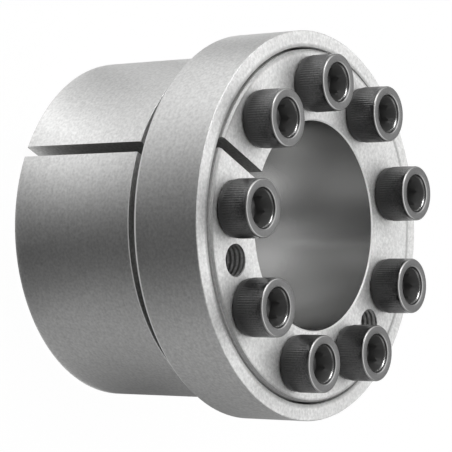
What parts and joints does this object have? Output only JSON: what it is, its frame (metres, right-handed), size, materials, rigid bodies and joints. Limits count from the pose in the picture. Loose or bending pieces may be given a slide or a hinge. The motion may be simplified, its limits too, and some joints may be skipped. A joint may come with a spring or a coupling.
{
  "type": "shaft locking assembly",
  "caption": "Keyless shaft locking assembly: slit taper rings clamp a shaft in a hub as the cap screws draw them together, with a spacer ring as hub stop.",
  "frame": {"origin": "centre of the rear face, on the axis", "axes": "+Z along the axis from the rear face to the screw heads, +X through the slits of both rings"},
  "size_m": [0.089, 0.089, 0.0644],
  "materials": {
    "inner_ring_steel": "fine-turned steel, satin, lightly oiled",
    "outer_ring_steel": "turned steel, satin, lightly oiled",
    "spacer_ring_steel": "turned steel, satin",
    "black_screw_steel": "black oxide on alloy steel, knurled head"
  },
  "bodies": {
    "inner_ring": {"inner_ring": "inner_ring_steel"},
    "outer_ring": {"outer_ring": "outer_ring_steel"},
    "spacer_ring": {"spacer_ring": "spacer_ring_steel"},
    "screw_1": {"screw_1": "black_screw_steel"},
    "screw_2": {"screw_2": "black_screw_steel"},
    "screw_3": {"screw_3": "black_screw_steel"},
    "screw_4": {"screw_4": "black_screw_steel"},
    "screw_5": {"screw_5": "black_screw_steel"},
    "screw_6": {"screw_6": "black_screw_steel"},
    "screw_7": {"screw_7": "black_screw_steel"},
    "screw_8": {"screw_8": "black_screw_steel"},
    "screw_9": {"screw_9": "black_screw_steel"}
  },
  "joints": [
    {"name": "screw_1_turn", "type": "hinge", "parent": "inner_ring", "child": "screw_1", "pos_m": [0.03031, 0.01103, 0.05635], "axis": [0, 0, 1], "range_deg": [-721, 1]},
    {"name": "screw_2_turn", "type": "hinge", "parent": "inner_ring", "child": "screw_2", "pos_m": [0.01613, 0.02793, 0.05635], "axis": [0, 0, 1], "range_deg": [-721, 1]},
    {"name": "screw_3_turn", "type": "hinge", "parent": "inner_ring", "child": "screw_3", "pos_m": [-0.0056, 0.03176, 0.05635], "axis": [0, 0, 1], "range_deg": [-721, 1]},
    {"name": "screw_4_turn", "type": "hinge", "parent": "inner_ring", "child": "screw_4", "pos_m": [-0.0247, 0.02073, 0.05635], "axis": [0, 0, 1], "range_deg": [-721, 1]},
    {"name": "screw_5_turn", "type": "hinge", "parent": "inner_ring", "child": "screw_5", "pos_m": [-0.03225, 0, 0.05635], "axis": [0, 0, 1], "range_deg": [-721, 1]},
    {"name": "screw_6_turn", "type": "hinge", "parent": "inner_ring", "child": "screw_6", "pos_m": [-0.0247, -0.02073, 0.05635], "axis": [0, 0, 1], "range_deg": [-721, 1]},
    {"name": "screw_7_turn", "type": "hinge", "parent": "inner_ring", "child": "screw_7", "pos_m": [-0.0056, -0.03176, 0.05635], "axis": [0, 0, 1], "range_deg": [-721, 1]},
    {"name": "screw_8_turn", "type": "hinge", "parent": "inner_ring", "child": "screw_8", "pos_m": [0.01613, -0.02793, 0.05635], "axis": [0, 0, 1], "range_deg": [-721, 1]},
    {"name": "screw_9_turn", "type": "hinge", "parent": "inner_ring", "child": "screw_9", "pos_m": [0.03031, -0.01103, 0.05635], "axis": [0, 0, 1], "range_deg": [-721, 1]},
    {"name": "outer_ring_draw", "type": "slide", "parent": "inner_ring", "child": "outer_ring", "axis": [0, 0, 1], "range_m": [0, 0.0025]},
    {"name": "spacer_ring_turn", "type": "hinge", "parent": "inner_ring", "child": "spacer_ring", "pos_m": [0, 0, 0.047], "axis": [0, 0, 1], "continuous": true}
  ],
  "couplings": [
    {"joint": "screw_1_turn", "follows": "outer_ring_draw", "rad_per_m": -5026.5},
    {"joint": "screw_2_turn", "follows": "outer_ring_draw", "rad_per_m": -5026.5},
    {"joint": "screw_3_turn", "follows": "outer_ring_draw", "rad_per_m": -5026.5},
    {"joint": "screw_4_turn", "follows": "outer_ring_draw", "rad_per_m": -5026.5},
    {"joint": "screw_5_turn", "follows": "outer_ring_draw", "rad_per_m": -5026.5},
    {"joint": "screw_6_turn", "follows": "outer_ring_draw", "rad_per_m": -5026.5},
    {"joint": "screw_7_turn", "follows": "outer_ring_draw", "rad_per_m": -5026.5},
    {"joint": "screw_8_turn", "follows": "outer_ring_draw", "rad_per_m": -5026.5},
    {"joint": "screw_9_turn", "follows": "outer_ring_draw", "rad_per_m": -5026.5}
  ]
}
